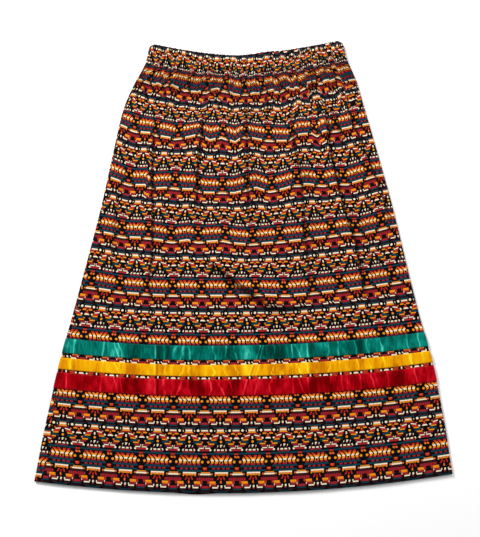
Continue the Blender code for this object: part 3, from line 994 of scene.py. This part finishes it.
# The fans: bands of ink down a row of leaning strokes
FAN_BANDS = (
    # from, to, ink
    (28.3, 30.1, RED),
    (30.1, 31.1, ORANGE),
    (31.1, 32.4, GOLD),
    (32.4, 33.9, CREAM),
    (33.9, 36.0, GOLD),
    (36.0, 37.7, CRIMSON),
)
FAN_REACH = 11.7             # most that they reach from column A
FAN_TOP = 8.4                # their reach at the top
FAN_WIDEN = 0.66             # and how fast it grows
FAN_STROKE = 4.35            # from one stroke to the next
FAN_HALF = 0.33              # half a stroke, against that
FAN_TURN = 33.5              # here the strokes turn from leaning
FAN_UPRIGHT = 0.6            # and this much lower they splay
FAN_LEAN = 0.62
FAN_SPLAY = 0.3

# Fine hatching over the wide crimson bars: across, down, half width, half height, ink
HATCH = (15.8, 50.7, 8.4, 1.3, DARK_RED)
HATCH_PITCH = 1.9
HATCH_HALF = 0.3


def shape_mask(n, p, q, shape):
    """1 inside a leaning, growing or sloping bar."""
    across, down, half_width, half_height, ink, *bent = shape
    lean, grow, slope = bent or (0.0, 0.0, 0.0)
    if ink >= CRIMSON:
        half_width, half_height = half_width - BLEED, half_height - BLEED
    middle = n.math("MULTIPLY_ADD", q, lean, across - lean * down) if lean else across
    width = n.math("MULTIPLY_ADD", q, grow, half_width - grow * down) if grow else half_width
    level = n.math("MULTIPLY_ADD", p, slope, down - slope * across) if slope else down
    inside = n.math("COMPARE", p, middle, width)
    within = n.math("COMPARE", q, level, half_height)
    return n.math("MULTIPLY", inside, within)


def fan_mask(n, p, q):
    """1 on the strokes of the fans."""
    above = n.math("MAXIMUM", n.math("SUBTRACT", FAN_TURN, q), 0.0)
    below = n.math("MAXIMUM", n.math("SUBTRACT", q, FAN_TURN + FAN_UPRIGHT), 0.0)
    foot = n.math("MULTIPLY_ADD", above, -FAN_LEAN, p)
    foot = n.math("MULTIPLY_ADD", below, -FAN_SPLAY, foot)
    place = n.math("WRAP", foot, FAN_STROKE / 2.0, -FAN_STROKE / 2.0)
    stroke = n.math("COMPARE", place, 0.0, FAN_HALF * FAN_STROKE)
    edge = n.math("MULTIPLY_ADD", q, FAN_WIDEN, FAN_TOP - FAN_WIDEN * FAN_BANDS[0][0])
    inside = n.math("LESS_THAN", p, n.math("MINIMUM", edge, FAN_REACH))
    return n.math("MULTIPLY", stroke, inside)


def over(n, below, mask, ink):
    """Lay an ink over what is below, where the mask is 1."""
    mix = n.node("ShaderNodeMix", data_type="FLOAT", Factor=mask, A=below, B=float(ink))
    return mix.outputs["Result"]


def printed_ink(n, uv):
    """The number of the ink at each point of the print."""
    split = n.node("ShaderNodeSeparateXYZ", Vector=uv)
    p = n.math("PINGPONG", n.math("MULTIPLY", split.outputs["X"], 2.0 * HALF), HALF)
    q = n.math("MULTIPLY", n.math("WRAP", split.outputs["Y"], 1.0, 0.0), DEEP)
    ink = float(GROUND)
    strokes = fan_mask(n, p, q)
    for start, end, colour in FAN_BANDS:
        band = n.math("COMPARE", q, (start + end) / 2.0, (end - start) / 2.0)
        ink = over(n, ink, n.math("MULTIPLY", strokes, band), colour)
    for shape in SHAPES:
        ink = over(n, ink, shape_mask(n, p, q, shape), shape[4])
        if shape[:2] == HATCH[:2]:
            place = n.math("WRAP", p, HATCH_PITCH / 2.0, -HATCH_PITCH / 2.0)
            line = n.math("COMPARE", place, 0.0, HATCH_HALF)
            mask = n.math("MULTIPLY", line, shape_mask(n, p, q, HATCH))
            ink = over(n, ink, mask, HATCH[4])
    place = n.node("ShaderNodeCombineXYZ", X=p, Y=q)
    for across, down, radius, colour in DOTS:
        distance = n.node("ShaderNodeVectorMath", operation="DISTANCE")
        n.feed(distance.inputs[0], place.outputs[0])
        distance.inputs[1].default_value = (across, down, 0.0)
        mask = n.math("LESS_THAN", distance.outputs["Value"], radius)
        ink = over(n, ink, mask, colour)
    return ink


def printed_cotton():
    """Printed cotton: the inks, uneven threads, painted shade in hollows, a plain weave."""
    n = Nodes("printed cotton")
    uv = n.print_map()
    place = n.math("DIVIDE", n.math("ADD", printed_ink(n, uv), 0.5), float(len(INKS)))
    stops = [(number / len(INKS), display(*ink)) for number, ink in enumerate(INKS)]
    colour = n.ramp(place, *stops, mode="CONSTANT")
    # Painted shade, stored on the pieces, darkens the colour in hollows
    hollow = n.node("ShaderNodeAttribute", attribute_name="PaintedShade").outputs["Fac"]
    painted_shade_factor = n.math("MULTIPLY_ADD", hollow, -HOLLOW_SHADE, 1.0)
    threads = n.math("MULTIPLY_ADD", n.noise(420.0), *THREAD_TONE)
    tone = n.node("ShaderNodeHueSaturation", Color=colour,
                  Value=n.math("MULTIPLY", threads, painted_shade_factor))
    n.weave(uv, 150.0, 280.0, 0.35, 0.00012)
    return n.finish(tone.outputs["Color"], 0.92, Specular_IOR_Level=0.05)


def satin(name, dark, middle, light, glint):
    """Satin ribbon: painted sheen in slow changes of tone and narrow streaks, painted
    highlights and shade at the creases, and a fine rib.
    """
    n = Nodes(name)
    uv = n.print_map()
    # Painted sheen: slow changes of tone, with narrow streaks over them, up to a painted glint
    wide = n.node("ShaderNodeMapping", Vector=uv, Scale=(0.75, 0.35, 1.0))
    slow = n.node("ShaderNodeTexNoise", Vector=wide.outputs["Vector"], Scale=1.0,
                  Detail=3.5, Roughness=0.5, Distortion=0.6)
    narrow = n.node("ShaderNodeMapping", Vector=uv, Scale=(6.5, 1.3, 1.0))
    streaks = n.node("ShaderNodeTexNoise", Vector=narrow.outputs["Vector"], Scale=1.0,
                     Detail=2.0, Roughness=0.6, Distortion=0.9)
    broad = n.math("ADD", slow.outputs["Fac"], -SHEEN_STREAKS / 2.0)
    uneven = n.math("MULTIPLY_ADD", streaks.outputs["Fac"], SHEEN_STREAKS, broad)
    # Painted highlights on the creases and painted shade in their hollows
    crease = n.node("ShaderNodeAttribute", attribute_name="PaintedCreaseLight").outputs["Fac"]
    tone = n.math("MULTIPLY_ADD", crease, CREASE_PAINTED_LIGHT, uneven)
    colour = n.ramp(tone, (0.34, dark), (0.5, middle), (0.66, light), (0.88, glint))
    n.weave(uv, 60.0, 90.0, 0.2, 0.0001)
    return n.finish(colour, 0.4, Specular_IOR_Level=0.1, Specular_Tint=glint)


def thread(name, dark, light):
    """Sewing thread: two plies that differ a little in tone."""
    n = Nodes(name)
    return n.finish(n.ramp(n.noise(900.0), (0.0, dark), (1.0, light)), 0.6)


def add_camera():
    """The photo's view: from above, tilted towards the waist."""
    place = (0.0003, -0.3002, 1.24)
    focal_pixels = 620.0
    frame_high = 537.0
    tilt = math.radians(12.0)
    roll = math.radians(-1.0)
    data = bpy.data.cameras.new("view")
    data.lens = 36.0 * focal_pixels / frame_high
    camera = add("view", data)
    camera.matrix_world = (Matrix.Translation(place)
                           @ Matrix.Rotation(tilt, 4, "X")
                           @ Matrix.Rotation(roll, 4, "Z"))
    bpy.context.scene.camera = camera


def add_light(name, place, size, power):
    """A square light that faces the origin."""
    data = bpy.data.lights.new(name, "AREA")
    data.size = size
    data.energy = power
    light = add(name, data)
    light.location = place
    light.rotation_euler = (-Vector(place)).to_track_quat("-Z", "Y").to_euler()


def add_studio():
    """A pale floor, a key light from the upper left and a softer one from the right."""
    world = bpy.data.worlds.new("studio")
    bpy.context.scene.world = world
    world.use_nodes = True
    background = world.node_tree.nodes["Background"]
    background.inputs["Color"].default_value = (1.0, 1.0, 1.0, 1.0)
    background.inputs["Strength"].default_value = 0.34
    add_light("key", (-2.2, 2.4, 2.1), 1.1, 166.0)
    add_light("fill", (1.3, 1.2, 2.3), 1.8, 36.0)
    bpy.context.scene.view_settings.view_transform = "Standard"
    mesh = bpy.data.meshes.new("floor")
    side, level = 6.0, -0.0003
    corners = ((-side, -side), (side, -side), (side, side), (-side, side))
    mesh.from_pydata([(*corner, level) for corner in corners], [], [(0, 1, 2, 3)])
    floor = add("floor", mesh)
    n = Nodes("pale floor")
    tones = n.ramp(n.noise(3.0), (0.0, (0.96, 0.96, 0.96, 1.0)), (1.0, (0.99, 0.99, 0.99, 1.0)))
    mesh.materials.append(n.finish(tones, 0.9))


def main():
    add_camera()
    add_studio()
    cotton = printed_cotton()
    for name, front in (("front_panel", True), ("back_panel", False)):
        piece = make_panel(f"{name}_cloth", front)
        sew_on(piece, name, cotton)
    for name, front in (("waistband_front", True), ("waistband_back", False)):
        piece = make_casing(f"{name}_cloth", front)
        sew_on(piece, name, cotton)
    for number, (name, top, width) in enumerate(RIBBONS):
        tones = [display(*tone) for tone in TONES[name]]
        material = satin(f"{name} satin", *tones)
        lines = []
        for side, front in (("front", True), ("back", False)):
            piece = make_ribbon(number, front)
            sew_on(piece, f"ribbon_{name}_{side}", material)
            for down in (top + EDGE_STITCH, top + width - EDGE_STITCH):
                lines.append(stitch_line(ribbon_face(number, front, np.array([[down]]))))
        colour = thread(f"{name} thread", *tones[1:3])
        make_stitches(f"ribbon_{name}_stitches", lines, colour)
    lines = []
    hem = np.array([[LENGTH - HEM_DEEP + HEM_STITCH]])
    for front in (True, False):
        casing = casing_face(front, np.array([[CASING_STITCH]]), np.ones((1, 1)))
        lines += [stitch_line(casing), stitch_line(panel_face(front, hem))]
    black = thread("black thread", display(16, 14, 18), display(44, 40, 46))
    make_stitches("casing_and_hem_stitches", lines, black)


main()
